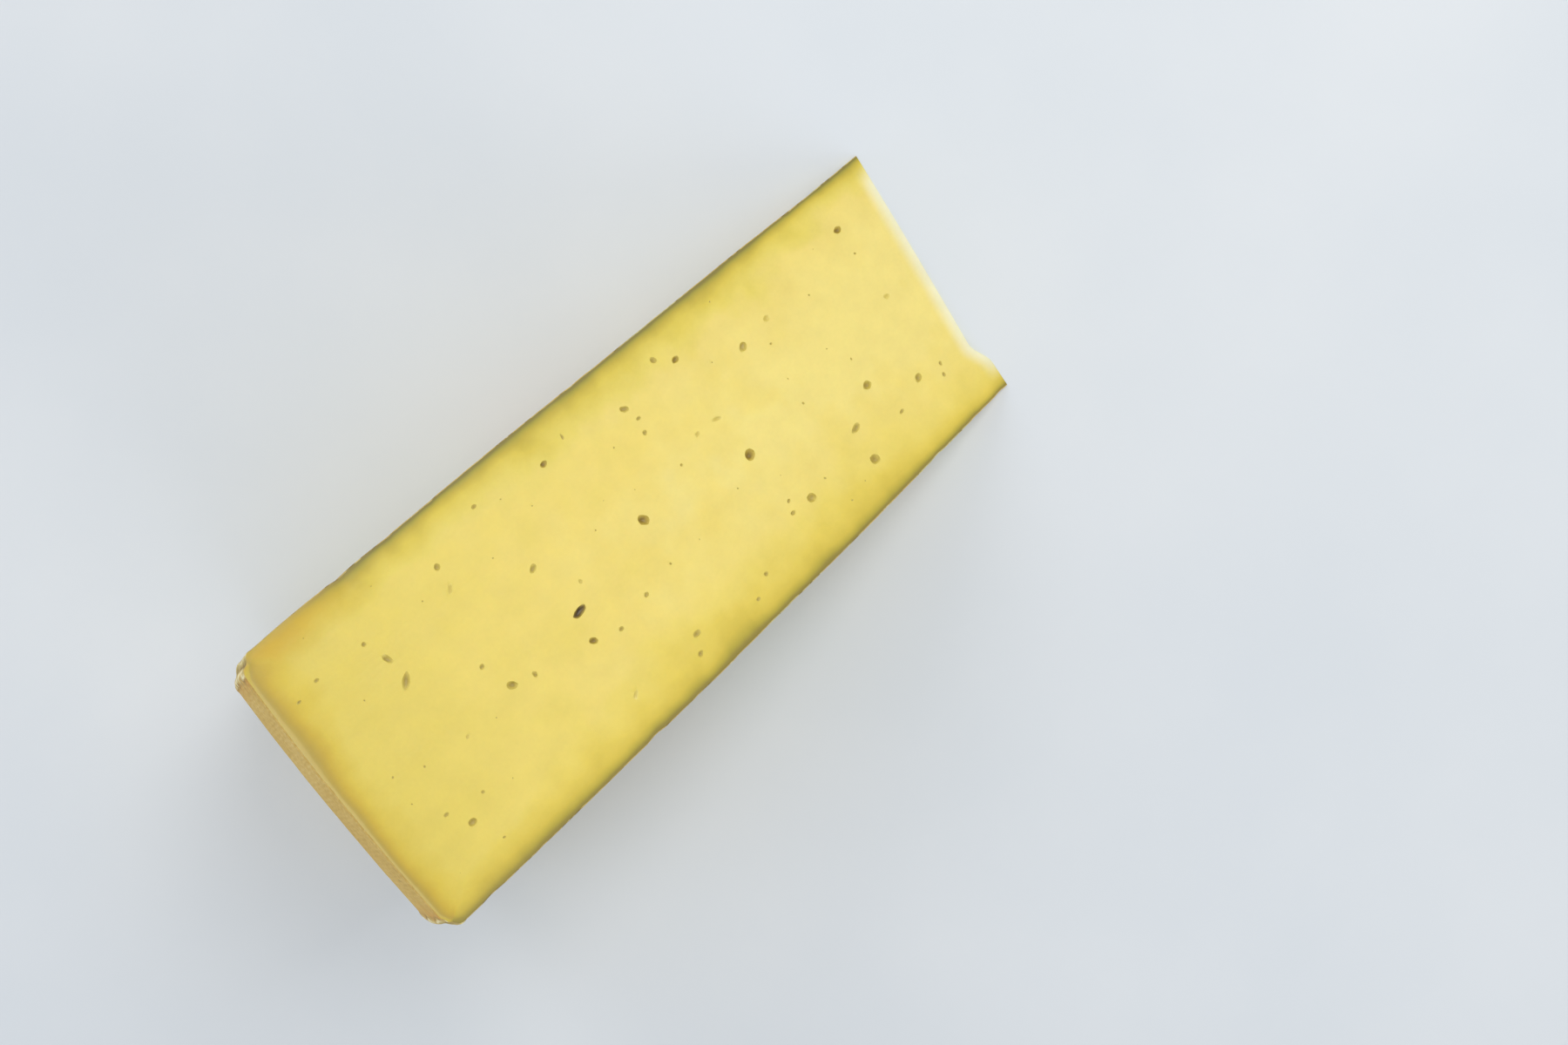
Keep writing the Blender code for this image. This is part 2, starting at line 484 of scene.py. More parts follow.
@dataclass(frozen=True)
class RindFinish:
    """Brine-washed natural rind, ripened on boards and bound in cloth.

    The flat faces are dry, tan and olive, with patches and dark specks. The heel is
    golden with the fine print of the cloth. A pale double line runs along the corner,
    with painted highlights on its ridges and painted shade in the groove between them.
    """

    # Flat faces
    board_tan: str = "cdb266"
    board_green: str = "cdc384"
    board_orange: str = "d2a65e"
    patch_mm: float = 34.0
    green_noise: tuple[float, float] = (0.46, 0.62)
    orange_mm: float = 52.0
    orange_layer: float = 3.7
    orange_noise: tuple[float, float] = (0.5, 0.66)
    orange_share: tuple[float, float] = (0.0, 0.75)
    mottle_mm: float = 3.0
    mottle_shade: tuple[float, float] = (0.74, 1.16)
    grain_mm: float = 0.9

    # Dark specks, pits and pale flecks of the flat faces
    speck: str = "84703a"
    speck_mm: float = 4.2
    crowd_mm: float = 28.0
    crowd_layer: float = 8.1
    crowd_weight: float = 0.38
    speck_noise: tuple[float, float] = (0.72, 0.9)
    speck_share: tuple[float, float] = (0.0, 0.9)
    speck_relief: float = 0.6
    pit: str = "6b5528"
    pit_mm: float = 3.4
    jitter_mm: float = 1.8
    pit_jitter: float = 0.0026
    bare_share: float = 0.55
    pit_reach: tuple[float, float] = (0.08, 0.4)
    pit_share: tuple[float, float] = (0.72, 0.0)
    pit_relief: float = -1.2
    fleck: str = "ded2a4"
    fleck_mm: float = 2.6
    fleck_layer: float = 5.3
    fleck_noise: tuple[float, float] = (0.6, 0.72)
    fleck_share: tuple[float, float] = (0.0, 0.6)

    # Heel, with the print of the cloth
    heel_tones: Stops = ((0.0, "cda64f"), (0.4, "deb95f"), (0.7, "e8c56e"), (1.0, "f3d890"))
    heel_noise: tuple[float, float] = (0.55, 1.2)
    heel_patch_mm: float = 24.0
    heel_patch_share: float = 0.6
    heel_grain_mm: float = 1.5
    heel_grain_relief: float = 0.7
    heel_speck: str = "8a6a35"
    heel_speck_mm: float = 5.0
    heel_speck_noise: tuple[float, float] = (0.68, 0.76)
    heel_speck_share: tuple[float, float] = (0.0, 0.7)
    cloth_mm: float = 1.7
    weave_distortion: float = 3.4
    weave_detail: float = 3.0
    weave_detail_scale: float = 1.1
    weave_share: float = 0.2
    weave_relief: float = 0.4

    # Corner between them, with its tones by millimetres across it: pale crumbly ridges with
    # painted highlights on their crests, and painted shade in the dark groove between
    rim_reach: tuple[float, float] = (-0.004, 0.006)
    corner_tones_highlights_and_shade: Stops = (
        (-14.0, "c4ab64"),
        (-6.6, "c4ab64"),
        (-5.4, "9c8348"),
        (-4.6, "d9c47c"),
        (-3.9, "f4e6ac"),
        (-3.2, "dcc67c"),
        (-1.6, "b79f5c"),
        (0.2, "937b44"),
        (1.6, "bda560"),
        (3.1, "e4cf8c"),
        (3.9, "fff3c6"),
        (4.7, "f0dc9a"),
        (5.6, "b08a4a"),
        (7.4, "deae57"),
        (14.0, "e1b75e"),
    )
    corner_reach: tuple[float, float] = (7.0, 14.0)
    drift_mm: float = 6.5
    drift_reach: tuple[float, float] = (-1.7, 1.7)
    crumble_mm: float = 2.4
    crumble_layer: float = 2.9
    crumble_shade: tuple[float, float] = (0.86, 1.18)
    crumble_relief: float = 1.8
    break_mm: float = 4.0
    break_noise: tuple[float, float] = (0.38, 0.54)
    break_share: tuple[float, float] = (0.1, 1.0)

    # Surface of the whole rind
    bump_strength: float = 0.9
    bump_height: float = 0.0006
    roughness: float = 0.78
    ior: float = 1.45

    def material(self) -> bpy.types.Material:
        """Build the rind.

        Returns:
            The material.
        """
        material = bpy.data.materials.new("washed_natural_rind")
        material.use_nodes = True
        tree = material.node_tree
        shader = tree.nodes["Principled BSDF"]
        place = add_node(tree, "TexCoord", {}, {}, "Object")
        wrap = add_node(tree, "UVMap", {"uv_map": "wrap"}, {})
        edge = add_node(tree, "SeparateXYZ", {}, {0: wrap}, "X")

        section = add_node(tree, "UVMap", {"uv_map": "section"}, {})
        along_heel = add_node(tree, "SeparateXYZ", {}, {0: wrap}, "Y")
        over_heel = add_node(tree, "SeparateXYZ", {}, {0: section}, "X")
        heel_place = add_node(tree, "CombineXYZ", {}, {"X": over_heel, "Y": along_heel})
        board, board_relief = self.board_face(tree, place)
        cloth, cloth_relief = self.cloth_face(tree, place, heel_place)
        rim = remap(tree, edge, self.rim_reach, smooth=True)
        faces = blend(tree, rim, board, cloth)

        # The ridges along the corner are pale and broken, with a darker groove between. Their pale
        # crests are partly painted highlight, and the groove is partly painted shade
        drift = add_noise(tree, place, self.drift_mm, 5.0)
        first, last = self.corner_tones_highlights_and_shade[0][0], self.corner_tones_highlights_and_shade[-1][0]
        wander = remap(tree, drift, NOISE_RANGE, self.drift_reach)
        across = weighted_sum(tree, edge, per_metre(1.0), wander)
        ramp_place = remap(tree, across, (first, last))
        places = tuple(((mm - first) / (last - first), tone) for mm, tone in self.corner_tones_highlights_and_shade)
        corner = add_node(tree, "ValToRGB", {"stops": places}, {"Fac": ramp_place})
        crumble = add_noise(
            tree, place, self.crumble_mm, 3.0, roughness=0.65, layer=self.crumble_layer
        )
        worn = remap(tree, crumble, NOISE_RANGE, self.crumble_shade)
        corner = shaded(tree, corner, worn)
        reach = add_node(tree, "Math", {"operation": "ABSOLUTE"}, {0: across})
        band = remap(tree, reach, self.corner_reach, (1.0, 0.0), smooth=True)
        breaks = add_noise(tree, place, self.break_mm, 4.0)
        broken = remap(tree, breaks, self.break_noise, self.break_share)
        share = product(tree, band, broken)
        whole = blend(tree, share, faces, corner)
        relief = add_node(
            tree,
            "Mix",
            {"data_type": "FLOAT"},
            {0: rim, 2: board_relief, 3: cloth_relief},
        )
        crumbly = product(tree, band, crumble)
        relief = weighted_sum(tree, crumbly, self.crumble_relief, relief)
        bump = add_node(
            tree,
            "Bump",
            {},
            {"Height": relief, "Strength": self.bump_strength, "Distance": self.bump_height},
        )
        tree.links.new(whole, shader.inputs["Base Color"])
        tree.links.new(bump, shader.inputs["Normal"])
        shader.inputs["Roughness"].default_value = self.roughness
        shader.inputs["IOR"].default_value = self.ior
        return material

    def board_face(
        self, tree: bpy.types.NodeTree, place: bpy.types.NodeSocket
    ) -> tuple[bpy.types.NodeSocket, bpy.types.NodeSocket]:
        """Colour and relief of the flat faces.

        Args:
            tree: Node tree of the material.
            place: Object coordinates.

        Returns:
            The colour and the height.
        """
        patches = add_noise(tree, place, self.patch_mm, 5.0, roughness=0.62)
        green_share = remap(tree, patches, self.green_noise, smooth=True)
        base = blend(tree, green_share, linear(self.board_tan), linear(self.board_green))
        warm = add_noise(tree, place, self.orange_mm, 4.0, layer=self.orange_layer)
        warm_share = remap(tree, warm, self.orange_noise, self.orange_share, smooth=True)
        base = blend(tree, warm_share, base, linear(self.board_orange))

        # Close mottling, as of dried curd and brushed mould
        mottle = add_noise(tree, place, self.mottle_mm, 4.0, roughness=0.7)
        shade = remap(tree, mottle, NOISE_RANGE, self.mottle_shade)
        base = shaded(tree, base, shade)

        # Specks of dark mould crowd together in some places
        specks = add_noise(tree, place, self.speck_mm, 3.0, roughness=0.55)
        crowd = add_noise(tree, place, self.crowd_mm, 2.0, layer=self.crowd_layer)
        crowded = weighted_sum(tree, crowd, self.crowd_weight, specks)
        speck_share = remap(tree, crowded, self.speck_noise, self.speck_share, smooth=True)
        base = blend(tree, speck_share, base, linear(self.speck))

        # Pits of uneven outline, in part of the cells of a pattern
        jitter = add_node(
            tree,
            "TexNoise",
            {},
            {"Vector": place, "Scale": per_metre(self.jitter_mm), "Detail": 2.0},
            1,
        )
        pit_place = add_node(
            tree,
            "VectorMath",
            {"operation": "MULTIPLY_ADD"},
            {0: jitter, 1: (self.pit_jitter,) * 3, 2: place},
        )
        cells = add_node(
            tree,
            "TexVoronoi",
            {},
            {"Vector": pit_place, "Scale": per_metre(self.pit_mm)},
            "Distance",
        )
        lots = add_node(
            tree,
            "TexVoronoi",
            {},
            {"Vector": pit_place, "Scale": per_metre(self.pit_mm)},
            "Color",
        )
        lot = add_node(tree, "SeparateXYZ", {}, {0: lots}, "X")
        chosen = add_node(tree, "Math", {"operation": "GREATER_THAN"}, {0: lot, 1: self.bare_share})
        hollow = remap(tree, cells, self.pit_reach, self.pit_share, smooth=True)
        pit_share = product(tree, hollow, chosen)
        base = blend(tree, pit_share, base, linear(self.pit))
        flecks = add_noise(tree, place, self.fleck_mm, 2.0, layer=self.fleck_layer)
        fleck_share = remap(tree, flecks, self.fleck_noise, self.fleck_share, smooth=True)
        base = blend(tree, fleck_share, base, linear(self.fleck))
        grain = add_noise(tree, place, self.grain_mm, 2.0)
        raised = weighted_sum(tree, specks, self.speck_relief, grain)
        height = weighted_sum(tree, pit_share, self.pit_relief, raised)
        return base, height

    def cloth_face(
        self,
        tree: bpy.types.NodeTree,
        place: bpy.types.NodeSocket,
        heel_place: bpy.types.NodeSocket,
    ) -> tuple[bpy.types.NodeSocket, bpy.types.NodeSocket]:
        """Colour and relief of the heel, with the print of the cloth.

        Args:
            tree: Node tree of the material.
            place: Object coordinates.
            heel_place: Place on the heel, across and along the rim.

        Returns:
            The colour and the height.
        """
        threads = []
        for direction in ("X", "Y"):
            threads.append(
                add_node(
                    tree,
                    "TexWave",
                    {"bands_direction": direction},
                    {
                        "Vector": heel_place,
                        "Scale": ONE_WAVE * per_metre(self.cloth_mm),
                        "Distortion": self.weave_distortion,
                        "Detail": self.weave_detail,
                        "Detail Scale": self.weave_detail_scale,
                    },
                )
            )
        weave = product(tree, threads[0], threads[1])
        patches = add_noise(tree, place, self.heel_patch_mm, 6.0, roughness=0.6)
        grain = add_noise(tree, place, self.heel_grain_mm, 3.0, roughness=0.6)
        close = weighted_sum(tree, weave, self.weave_share, grain)
        tone = weighted_sum(tree, patches, self.heel_patch_share, close)
        tone = remap(tree, tone, self.heel_noise)
        base = add_node(tree, "ValToRGB", {"stops": self.heel_tones}, {"Fac": tone})
        specks = add_noise(tree, place, self.heel_speck_mm, 3.0)
        speck_share = remap(
            tree, specks, self.heel_speck_noise, self.heel_speck_share, smooth=True
        )
        base = blend(tree, speck_share, base, linear(self.heel_speck))
        height = weighted_sum(tree, weave, self.weave_relief, patches)
        return base, weighted_sum(tree, grain, self.heel_grain_relief, height)


@dataclass(frozen=True)
class EyeFinish:
    """Skin of an eye, the small hollow that gas leaves in the paste.

    It is smooth and moist, has the paste's tone at its rim, and darkens with depth: partly its
    own browner dried skin, partly painted shade down the hollow.
    """

    name: str
    rim: str
    middle: str
    deep_and_shaded: str
    tone_places: tuple[float, float, float] = (0.3, 0.67, 0.95)
    depth_share: float = 0.8
    blotch_share: float = 0.3
    blotch_mm: float = 1.6
    bump_strength: float = 0.3
    bump_height: float = 0.0002
    roughness: float = 0.35

    def material(self) -> bpy.types.Material:
        """Build the skin of the eyes.

        Returns:
            The material.
        """
        material = bpy.data.materials.new(self.name)
        material.use_nodes = True
        tree = material.node_tree
        shader = tree.nodes["Principled BSDF"]
        place = add_node(tree, "TexCoord", {}, {}, "Object")
        blotch = add_noise(tree, place, self.blotch_mm, 2.0)
        section = add_node(tree, "UVMap", {"uv_map": "section"}, {})
        depth = add_node(tree, "SeparateXYZ", {}, {0: section}, "X")
        # Darker with depth down the hollow: painted shade, on top of the skin's own browner tone
        painted_shade_depth = product(tree, depth, self.depth_share)
        uneven = weighted_sum(tree, blotch, self.blotch_share, painted_shade_depth)
        stops = tuple(zip(self.tone_places, (self.rim, self.middle, self.deep_and_shaded)))
        tone = add_node(tree, "ValToRGB", {"stops": stops}, {"Fac": uneven})
        bump = add_node(
            tree,
            "Bump",
            {},
            {"Height": blotch, "Strength": self.bump_strength, "Distance": self.bump_height},
        )
        tree.links.new(tone, shader.inputs["Base Color"])
        tree.links.new(bump, shader.inputs["Normal"])
        shader.inputs["Roughness"].default_value = self.roughness
        return material


@dataclass(frozen=True)
class FloorFinish:
    """Matt painted board, pale and a little cool, which keeps the shadows soft."""

    light: str = "e4e9ee"
    dark: str = "dfe5eb"
    tone_places: tuple[float, float] = (0.35, 0.65)
    cloud_mm: float = 140.0
    roughness: float = 0.85

    def material(self) -> bpy.types.Material:
        """Build the floor's paint.

        Returns:
            The material.
        """
        material = bpy.data.materials.new("matt_painted_board")
        material.use_nodes = True
        tree = material.node_tree
        shader = tree.nodes["Principled BSDF"]
        place = add_node(tree, "TexCoord", {}, {}, "Object")
        cloud = add_noise(tree, place, self.cloud_mm, 5.0)
        stops = tuple(zip(self.tone_places, (self.dark, self.light)))
        tone = add_node(tree, "ValToRGB", {"stops": stops}, {"Fac": cloud})
        tree.links.new(tone, shader.inputs["Base Color"])
        shader.inputs["Roughness"].default_value = self.roughness
        return material


@dataclass(frozen=True)
class Wheel:
    """Section of the round wheel, from the tip at its centre to its rim, in metres."""

    radius: float = 0.2935
    height: float = 0.105
    low_dip: float = 0.0009
    high_dip: float = 0.0033
    crown: float = 0.0004
    rim_lean: float = 0.0060
    rim_bulge: float = 0.0013
    corner: float = 0.007
    ridge: float = 0.0008
    ridge_count: int = 2
    ring_share: float = 0.999
    cut_offset: float = 0.0117
    tip_blunt: float = 0.0006
    tip_wear: float = 0.0045
    tip_wear_peak: float = 0.79
    tip_lip: float = 0.90
    tip_wear_power: float = 1.3
    wide_step: float = 0.0018
    narrow_step: float = 0.0006

    def line_places(self, length: float, narrow_start: bool) -> list[float]:
        """Places of the mesh lines along one side, narrow round the rim's corners.

        Args:
            length: Length of the side.
            narrow_start: Whether the side starts at a corner, as well as ending at one.

        Returns:
            The places, from 0 to the length.
        """
        narrow_band = self.corner + 2.0 * self.narrow_step
        count = round(narrow_band / self.narrow_step)
        ending = [length - narrow_band * i / count for i in range(count, 0, -1)] + [length]
        opening = [narrow_band * i / count for i in range(count + 1)] if narrow_start else [0.0]
        gap = ending[0] - opening[-1]
        wide = round(gap / self.wide_step)
        middle = [opening[-1] + gap * i / wide for i in range(1, wide)]
        return opening + middle + ending

    def cut_shift(self, v: float) -> float:
        """Distance that the upper cut runs past the centre, at v above the -Y face."""
        return self.cut_offset * v / self.height

    def wear(self, v: float) -> float:
        """Depth by which the thin tip is worn back.

        Args:
            v: Height above the -Y face.

        Returns:
            The depth, least at the lip by the +Y rind.
        """
        t = v / self.height
        rise = min(1.0, max(0.0, t / self.tip_wear_peak)) ** self.tip_wear_power
        fall = 1.0 - smoothstep(self.tip_wear_peak, self.tip_lip, t)
        return self.tip_blunt + self.tip_wear * rise * fall

    def round_corner(self, a: float, b: float) -> tuple[float, float]:
        """Bend the corner square into a quarter disc, with two ridges on its outer ring.

        Args:
            a: Distance out from the arc's centre, towards the rim.
            b: Distance out from the arc's centre, towards the flat face.

        Returns:
            The bent distances.
        """
        ring = max(a, b)
        if ring <= 0.0:
            return a, b
        angle = math.atan2(b, a)
        outer = ring > self.corner * self.ring_share
        wave = 1.0 - math.cos(4.0 * self.ridge_count * angle)
        ridge = self.ridge * 0.5 * wave if outer else 0.0
        scale = (ring + ridge) / math.hypot(a, b)
        return a * scale, b * scale

    def point(self, r: float, v: float) -> tuple[float, float]:
        """Point of the section for a place on the plain grid.

        Args:
            r: Plain distance from the tip.
            v: Plain height above the -Y face.

        Returns:
            Radius from the wheel's axis, and place along the axis.
        """
        centre = self.radius - self.corner
        top = self.height - self.corner
        if r > centre and v < self.corner:
            a, b = self.round_corner(r - centre, self.corner - v)
            r, v = centre + a, self.corner - b
        elif r > centre and v > top:
            a, b = self.round_corner(r - centre, v - top)
            r, v = centre + a, top + b
        t = v / self.height
        bulge = self.rim_bulge * (1.0 - (2.0 * t - 1.0) ** 2)
        rim = self.radius - self.rim_lean * (1.0 - t) + bulge - self.cut_shift(v)
        tip = self.wear(v)
        radius = tip + (rim - tip) * r / self.radius
        out = r / self.radius
        bow = 4.0 * self.crown * out * (1.0 - out)
        low = (bow - self.low_dip * (1.0 - out) ** 2) * (1.0 - t)
        high = (bow - self.high_dip * (1.0 - out) ** 2) * t
        return radius, -self.height / 2 + v - low + high

    def outward(self, r: float, v: float) -> tuple[float, float]:
        """Direction out of the rind, near a place on the plain grid.

        Args:
            r: Plain distance from the tip.
            v: Plain height above the -Y face.

        Returns:
            The direction's parts along the radius and along the axis.
        """
        a = max(0.0, r - (self.radius - self.corner))
        below = max(0.0, self.corner - v)
        above = max(0.0, v - (self.height - self.corner))
        b = above - below
        reach = math.hypot(a, b)
        return (a / reach, b / reach) if reach > 0.0 else (0.0, 0.0)

    def depth(self, r: float, v: float) -> float:
        """Depth of a plain place under the nearest rind."""
        return min(v, self.height - v, self.radius - r)


@dataclass(frozen=True)
class Eye:
    """One eye of a cut face, in millimetres, with the turn of its length in degrees."""

    along: float
    across: float
    length: float
    width: float
    turn: float
    skin: Skin = Skin.EYE


@dataclass(frozen=True)
class EyeField:
    """The eyes of both cut faces: those of the upper one in their places, the rest drawn.

    Its measures are in metres, apart from the eyes and the names that end in mm.
    """

    upper: tuple[Eye, ...] = (
        Eye(194.7, 57.8, 6.6, 3.0, 10, Skin.DARK_EYE),
        Eye(111.5, 56.9, 4.8, 4.1, 43, Skin.BROWN_EYE),
        Eye(157.2, 49.4, 4.8, 3.9, 139, Skin.BROWN_EYE),
        Eye(103.5, 82.4, 4.0, 3.8, 0),
        Eye(74.1, 87.9, 4.6, 4.2, 154),
        Eye(57.7, 66.4, 4.4, 3.6, 6),
        Eye(227.7, 60.9, 4.2, 3.2, 149),
        Eye(87.2, 27.2, 4.4, 3.0, 31),
        Eye(252.1, 38.0, 6.4, 2.8, 39),
        Eye(197.7, 67.9, 3.8, 2.6, 152, Skin.BROWN_EYE),
        Eye(265.1, 84.1, 3.7, 2.8, 174),
        Eye(110.6, 15.6, 3.6, 2.6, 17, Skin.BROWN_EYE),
        Eye(137.1, 17.3, 4.2, 2.6, 148),
        Eye(72.4, 75.1, 5.2, 2.8, 14),
        Eye(27.0, 17.4, 3.8, 2.8, 4, Skin.BROWN_EYE),
        Eye(171.7, 14.1, 3.4, 2.4, 14, Skin.BROWN_EYE),
        Eye(168.6, 89.5, 4.0, 2.4, 5),
        Eye(38.8, 77.0, 4.2, 3.0, 35),
        Eye(197.5, 37.5, 4.0, 2.4, 31),
        Eye(251.9, 29.1, 4.8, 2.2, 105),
        Eye(117.2, 11.0, 3.0, 2.6, 127),
        Eye(221.2, 17.4, 3.0, 2.4, 39),
        Eye(172.2, 95.2, 3.0, 2.2, 26),
        Eye(27.6, 78.6, 2.2, 1.6, 60),
        Eye(29.4, 82.6, 2.2, 1.6, 80),
        Eye(160.6, 11.2, 3.0, 1.4, 79),
        Eye(136.8, 27.7, 2.4, 2.0, 55),
        Eye(173.5, 68.5, 2.6, 2.0, 20),
        Eye(219.7, 63.2, 2.6, 2.0, 90),
        Eye(187.8, 71.2, 2.4, 2.0, 0),
        Eye(231.2, 50.2, 2.4, 1.8, 30),
        Eye(135.3, 90.9, 2.4, 2.0, 0),
        Eye(254.5, 21.0, 2.2, 1.8, 0),
        Eye(143.5, 95.4, 2.2, 1.8, 10),
        Eye(280.6, 21.7, 2.2, 1.2, 0),
        Eye(112.8, 81.9, 2.6, 2.0, 0),
        Eye(272.4, 20.1, 2.2, 1.6, 0),
        Eye(135.2, 22.7, 2.4, 1.6, 0),
        Eye(111.2, 77.8, 2.4, 1.4, 20),
        Eye(199.2, 10.3, 2.4, 1.8, 0),
        Eye(53.2, 81.9, 3.0, 1.6, 10),
        Eye(269.7, 76.9, 2.2, 1.6, 0),
        Eye(198.5, 90.3, 5.6, 2.6, 39, Skin.FAINT_EYE),
        Eye(222.6, 25.3, 5.4, 2.6, 46, Skin.FAINT_EYE),
        Eye(72.9, 25.1, 4.2, 3.4, 0, Skin.FAINT_EYE),
        Eye(112.8, 40.1, 6.6, 2.6, 162, Skin.FAINT_EYE),
        Eye(28.0, 47.2, 4.0, 3.2, 0, Skin.FAINT_EYE),
        Eye(248.9, 63.5, 3.4, 2.6, 20, Skin.FAINT_EYE),
        Eye(188.0, 50.9, 3.2, 2.4, 70, Skin.FAINT_EYE),
        Eye(122.1, 39.7, 3.6, 2.4, 10, Skin.FAINT_EYE),
    )

    # Eyes and pinholes that are drawn
    pinholes: int = 38
    lower_eyes: int = 14
    lower_pinholes: int = 18
    lower_start: float = 0.05
    lower_margin: float = 0.02
    lower_spread: float = 0.4
    lower_gap: float = 0.012
    lower_sizes: tuple[float, float] = (0.0026, 0.0046)
    pinhole_sizes_mm: tuple[float, float] = (0.9, 1.9)
    lower_pinhole_sizes_mm: tuple[float, float] = (0.9, 2.4)
    margin_mm: float = 12.0
    tip_margins: float = 2.0
    side_margins: float = 0.6
    gap: float = 0.009
    shrink: tuple[float, float] = (0.7, 1.0)
    slim: tuple[float, float] = (0.55, 0.95)
    seed: int = 12

    # Form of each hollow
    size_share: float = 0.94
    rise: float = 0.1
    faint_rise: float = 0.3
    depth: float = 0.95
    rough: float = 0.16
    swell_scales: tuple[float, float] = (2.6, 6.0)
    fine_swell: float = 0.5
    fine_from_mm: float = 3.0

    def lower(self, wheel: Wheel) -> tuple[Eye, ...]:
        """Draw the larger eyes of the lower cut face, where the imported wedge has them.

        Args:
            wheel: The wheel, whose rinds they keep clear of.

        Returns:
            The eyes.
        """
        draw = random.Random(self.seed)
        eyes: list[Eye] = []
        places: list[Vector] = []
        while len(eyes) < self.lower_eyes:
            x = draw.uniform(self.lower_start, wheel.radius - self.lower_margin)
            y = draw.uniform(-self.lower_spread, self.lower_spread) * wheel.height
            size = draw.uniform(*self.lower_sizes) / MILLIMETRE
            place = Vector((x, y, 0.0))
            if all((place - other).length > self.lower_gap for other in places):
                places.append(place)
                across = (y + wheel.height / 2) / MILLIMETRE
                eyes.append(Eye(x / MILLIMETRE, across, size, size, 0.0))
        return tuple(eyes)

    def drawn(
        self,
        count: int,
        wheel: Wheel,
        sizes: tuple[float, float],
        seed: int,
        taken: tuple[Eye, ...],
    ) -> list[Eye]:
        """Draw eyes at random, clear of each other.

        Args:
            count: How many to draw.
            wheel: The wheel, whose rinds they keep clear of.
            sizes: Smallest and largest length, in millimetres.
            seed: Seed of the draw.
            taken: Eyes that are there already, which they also keep clear of.

        Returns:
            The eyes.
        """
        draw = random.Random(seed)
        eyes: list[Eye] = []
        side = self.side_margins * self.margin_mm
        length = wheel.radius / MILLIMETRE
        height = wheel.height / MILLIMETRE
        while len(eyes) < count:
            along = draw.uniform(self.tip_margins * self.margin_mm, length - self.margin_mm)
            across = draw.uniform(side, height - side)
            size = draw.uniform(*sizes) * draw.uniform(*self.shrink)
            near = [
                math.hypot(along - other.along, across - other.across)
                for other in (*eyes, *taken)
            ]
            if min(near) > self.gap / MILLIMETRE:
                slim = draw.uniform(*self.slim)
                turn = draw.uniform(0.0, HALF_TURN)
                eyes.append(Eye(along, across, size, size * slim, turn))
        return eyes


@dataclass(frozen=True)
class RindRelief:
    """Small unevenness of the rind: widths and heights in metres, and places in the noise."""

    reach: float = 0.006
    lump_width: float = 0.016
    lump_height: float = 0.00022
    small_width: float = 0.0065
    small_height: float = 0.00016
    small_place: tuple[float, float, float] = (3.0, 1.0, 7.0)
    pit_width: float = 0.0085
    pit_height: float = 0.0011
    pit_start: float = 0.28
    pit_share_on_rim: float = 0.25
    pit_place: tuple[float, float, float] = (9.0, 4.0, 2.0)
    corner_start: float = 0.004
    nick_width: float = 0.012
    nick_height: float = 0.0007
    nick_noise: tuple[float, float] = (0.05, 0.4)
    nick_place: tuple[float, float, float] = (1.0, 6.0, 5.0)
    crumb_width: float = 0.0042
    crumb_height: float = 0.0010
    crumb_place: tuple[float, float, float] = (2.0, 8.0, 1.0)
    cut_edge_drop: float = 0.0003

    def height(self, wheel: Wheel, place: Vector, r: float, v: float) -> float:
        """Height of the rind's own unevenness, which only goes inwards.

        Args:
            wheel: The wheel.
            place: Point on the shell.
            r: Plain distance from the tip.
            v: Plain height above the -Y face.

        Returns:
            The height, 0 or less.
        """
        edge = min(v, wheel.height - v) - (wheel.radius - r)
        flat = 1.0 - smoothstep(-wheel.corner, 0.0, edge)
        lumps = 0.5 + 0.5 * noise.noise(place / self.lump_width)
        small = 0.5 + 0.5 * noise.noise(place / self.small_width + Vector(self.small_place))
        pits = max(0.0, noise.noise(place / self.pit_width + Vector(self.pit_place)) - self.pit_start)
        rough = self.lump_height * lumps + self.small_height * small
        on_rim = self.pit_share_on_rim
        pitted = self.pit_height * pits * (on_rim + (1.0 - on_rim) * flat)
        near_corner = 1.0 - smoothstep(self.corner_start, wheel.corner, abs(edge))
        nicks = smoothstep(
            *self.nick_noise, noise.noise(place / self.nick_width + Vector(self.nick_place))
        )
        crumbs = max(0.0, noise.noise(place / self.crumb_width + Vector(self.crumb_place)))
        broken = (self.nick_height * nicks + self.crumb_height * crumbs) * near_corner
        return -(rough + pitted + broken)


